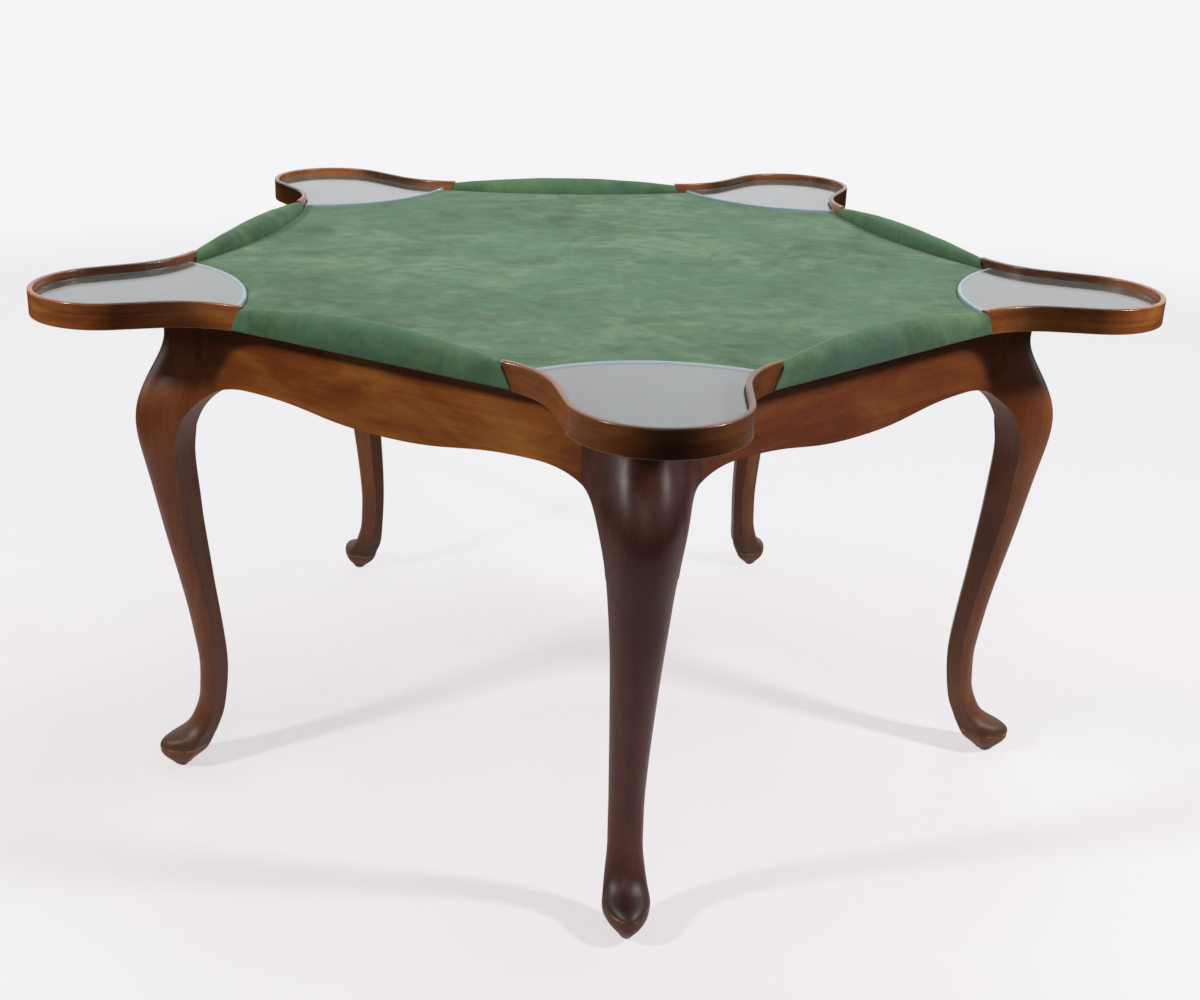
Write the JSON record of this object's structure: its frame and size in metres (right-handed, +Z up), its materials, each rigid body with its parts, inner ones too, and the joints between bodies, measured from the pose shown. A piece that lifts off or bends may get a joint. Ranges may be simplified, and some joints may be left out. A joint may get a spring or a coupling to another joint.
{
  "type": "games table",
  "caption": "Five-sided games table with a suede field, padded arm rests, five glazed counter trays with bent wooden galleries and five cabriole legs.",
  "frame": {"origin": "on the floor, under the middle of the table's footprint", "axes": "+Z up from the floor to the top, -Y out through the leg and tray that face the front, +X to the right of someone who stands in front"},
  "size_m": [1.5472, 1.4818, 0.75],
  "materials": {
    "carcass_wood": "matte",
    "apron_wood": "satin",
    "gallery_wood": "satin",
    "leg_wood": "satin",
    "suede": "matte",
    "tray_paint": "matte",
    "clear_glass": "polished",
    "steel": "satin",
    "brass": "satin",
    "glide_plastic": "matte"
  },
  "bodies": {
    "table": {"top_board": "carcass_wood", "suede_field": "suede", "tray_panel_front": "tray_paint", "gallery_front": "gallery_wood", "leg_front": "leg_wood", "knee_block_front_right": "leg_wood", "knee_block_front_left": "leg_wood", "corner_block_front": "carcass_wood", "tray_panel_right": "tray_paint", "gallery_right": "gallery_wood", "leg_right": "leg_wood", "knee_block_right_right": "leg_wood", "knee_block_right_left": "leg_wood", "corner_block_right": "carcass_wood", "tray_panel_rear_right": "tray_paint", "gallery_rear_right": "gallery_wood", "leg_rear_right": "leg_wood", "knee_block_rear_right_right": "leg_wood", "knee_block_rear_right_left": "leg_wood", "corner_block_rear_right": "carcass_wood", "tray_panel_rear_left": "tray_paint", "gallery_rear_left": "gallery_wood", "leg_rear_left": "leg_wood", "knee_block_rear_left_right": "leg_wood", "knee_block_rear_left_left": "leg_wood", "corner_block_rear_left": "carcass_wood", "tray_panel_left": "tray_paint", "gallery_left": "gallery_wood", "leg_left": "leg_wood", "knee_block_left_right": "leg_wood", "knee_block_left_left": "leg_wood", "corner_block_left": "carcass_wood", "arm_pad_front_right": "suede", "apron_front_right": "apron_wood", "top_cleat_front_right": "carcass_wood", "arm_pad_side_right": "suede", "apron_side_right": "apron_wood", "top_cleat_side_right": "carcass_wood", "arm_pad_rear": "suede", "apron_rear": "apron_wood", "top_cleat_rear": "carcass_wood", "arm_pad_side_left": "suede", "apron_side_left": "apron_wood", "top_cleat_side_left": "carcass_wood", "arm_pad_front_left": "suede", "apron_front_left": "apron_wood", "top_cleat_front_left": "carcass_wood", "leg_bolts": "steel", "bolt_nuts": "steel", "apron_dowels": "carcass_wood", "gallery_pins": "brass", "corner_block_screws": "steel", "cleat_screws": "steel", "foot_glides": "glide_plastic"},
    "glass_front": {"glass_front": "clear_glass"},
    "glass_right": {"glass_right": "clear_glass"},
    "glass_rear_right": {"glass_rear_right": "clear_glass"},
    "glass_rear_left": {"glass_rear_left": "clear_glass"},
    "glass_left": {"glass_left": "clear_glass"}
  },
  "joints": [
    {"name": "glass_front_lift", "type": "slide", "parent": "table", "child": "glass_front", "axis": [0, 0, 1], "range_m": [0, 0.05]},
    {"name": "glass_right_lift", "type": "slide", "parent": "table", "child": "glass_right", "axis": [0, 0, 1], "range_m": [0, 0.05]},
    {"name": "glass_rear_right_lift", "type": "slide", "parent": "table", "child": "glass_rear_right", "axis": [0, 0, 1], "range_m": [0, 0.05]},
    {"name": "glass_rear_left_lift", "type": "slide", "parent": "table", "child": "glass_rear_left", "axis": [0, 0, 1], "range_m": [0, 0.05]},
    {"name": "glass_left_lift", "type": "slide", "parent": "table", "child": "glass_left", "axis": [0, 0, 1], "range_m": [0, 0.05]}
  ]
}
